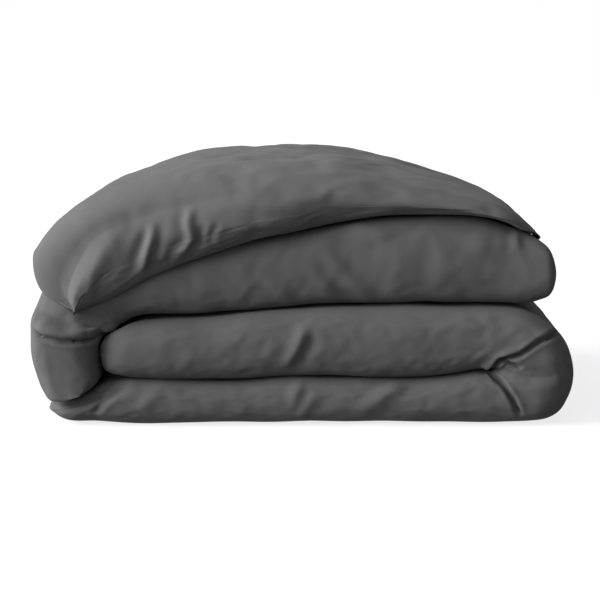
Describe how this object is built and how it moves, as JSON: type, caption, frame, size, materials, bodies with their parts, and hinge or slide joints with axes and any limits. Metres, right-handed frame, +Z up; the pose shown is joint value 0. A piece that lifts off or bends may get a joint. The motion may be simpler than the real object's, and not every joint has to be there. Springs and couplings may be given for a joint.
{
  "type": "folded duvet",
  "caption": "Thick duvet in a plain dark grey cotton cover, folded into a neat layered stack; its flap and upper layers unfold about the side folds.",
  "frame": {"origin": "under the middle of the stack, on the surface that it rests on", "axes": "+X to the right along the folded layers, +Y from the front edges to the back, +Z up"},
  "size_m": [0.598, 0.52, 0.29],
  "materials": {
    "cover_cotton": "plain-woven combed cotton, matt, dark mid-grey",
    "casing_cotton": "downproof cambric, off-white",
    "wadding": "carded hollow polyester fibre, white",
    "buttons": "four-hole shirt buttons, dark grey",
    "label": "blank satin tape"
  },
  "bodies": {
    "base": {"inner_layer_cover": "cover_cotton", "inner_layer_casing": "casing_cotton", "inner_layer_wadding": "wadding", "lower_right_fold_cover": "cover_cotton", "lower_right_fold_casing": "casing_cotton", "lower_right_fold_wadding": "wadding", "bottom_layer_cover": "cover_cotton", "bottom_layer_casing": "casing_cotton", "bottom_layer_wadding": "wadding", "left_fold_lower_cover": "cover_cotton", "left_fold_lower_casing": "casing_cotton", "left_fold_lower_wadding": "wadding", "closure_placket": "cover_cotton", "closure_buttons": "buttons", "care_label": "label"},
    "middle": {"left_fold_upper_cover": "cover_cotton", "left_fold_upper_casing": "casing_cotton", "left_fold_upper_wadding": "wadding", "middle_layer_cover": "cover_cotton", "middle_layer_casing": "casing_cotton", "middle_layer_wadding": "wadding", "upper_right_fold_cover": "cover_cotton", "upper_right_fold_casing": "casing_cotton", "upper_right_fold_wadding": "wadding"},
    "flap": {"top_flap_cover": "cover_cotton", "top_flap_casing": "casing_cotton", "top_flap_wadding": "wadding", "hanging_corner_cover": "cover_cotton", "hanging_corner_casing": "casing_cotton", "hanging_corner_wadding": "wadding"}
  },
  "joints": [
    {"name": "middle_layer_fold", "type": "hinge", "parent": "base", "child": "middle", "pos_m": [-0.2993, 0, 0.0973], "axis": [0, -1, 0], "range_deg": [0, 145]},
    {"name": "top_flap_fold", "type": "hinge", "parent": "middle", "child": "flap", "pos_m": [0.2785, 0, 0.2062], "axis": [0, 1, 0], "range_deg": [0, 180]}
  ]
}
